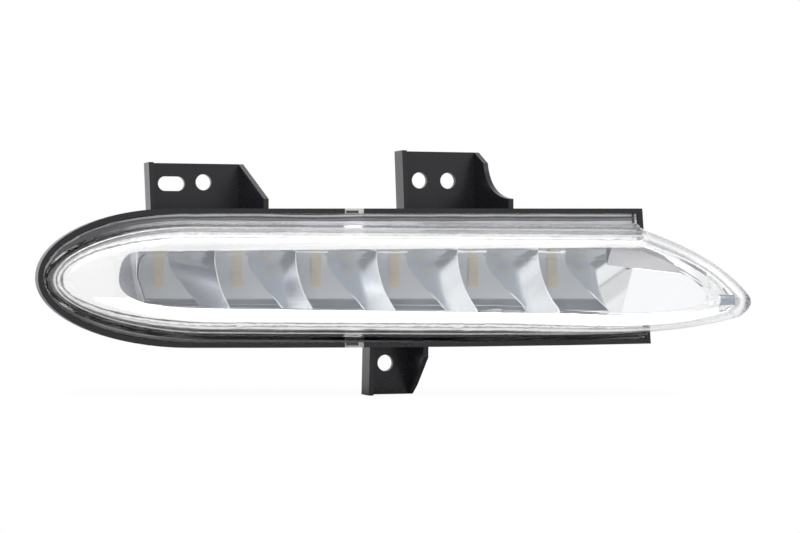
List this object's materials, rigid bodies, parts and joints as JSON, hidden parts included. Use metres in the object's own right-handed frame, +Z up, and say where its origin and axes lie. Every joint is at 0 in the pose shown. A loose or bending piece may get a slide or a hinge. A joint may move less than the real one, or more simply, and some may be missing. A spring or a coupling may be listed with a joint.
{
  "type": "daytime running light",
  "caption": "Slim swept daytime running light for a car front: black housing with screw brackets, clear wrap-round lens, chrome bezel and a reflector lit by six LEDs.",
  "frame": {"origin": "midway between the two holes of the middle bracket, on the rear face of its plate", "axes": "+Z up as on the car, +X along the lamp to the wrapped tip, -Y forward; the lens face is swept back 18 degrees about Z, so its left end lies further back than its right end"},
  "size_m": [0.2887, 0.161, 0.1077],
  "materials": {
    "housing_plastic": "moulded black, fine satin texture",
    "lens_clear": "clear, polished",
    "seal_rubber": "matt",
    "bezel_chrome": "bright metallised plastic",
    "reflector_chrome": "bright metallised plastic",
    "board_white": "white solder mask",
    "led_amber": "yellow phosphor",
    "pad_rubber": "matt grey",
    "sink_aluminium": "plain extruded",
    "screw_steel": "zinc plated",
    "chip_black": "moulded epoxy",
    "coil_grey": "ferrite",
    "header_plastic": "natural nylon",
    "membrane_fabric": "white film",
    "vent_plastic": "moulded black",
    "terminal_brass": "tin-washed brass",
    "lead_red": "insulation",
    "lead_black": "insulation"
  },
  "bodies": {
    "root": {"housing": "housing_plastic", "lens": "lens_clear", "lens_seal": "seal_rubber", "bezel": "bezel_chrome", "reflector": "reflector_chrome", "led_board": "board_white", "thermal_pad": "pad_rubber", "heat_sink": "sink_aluminium", "board_screws": "screw_steel", "ear_screws": "screw_steel", "driver_chip": "chip_black", "driver_coil": "coil_grey", "ballast_resistors": "chip_black", "board_header": "header_plastic", "harness_plug": "header_plastic", "vent_membrane": "membrane_fabric", "vent_cap": "vent_plastic", "terminal_feed": "terminal_brass", "terminal_ground": "terminal_brass", "lead_feed": "lead_red", "lead_ground": "lead_black", "led_1": "led_amber", "led_2": "led_amber", "led_3": "led_amber", "led_4": "led_amber", "led_5": "led_amber", "led_6": "led_amber"}
  },
  "joints": []
}
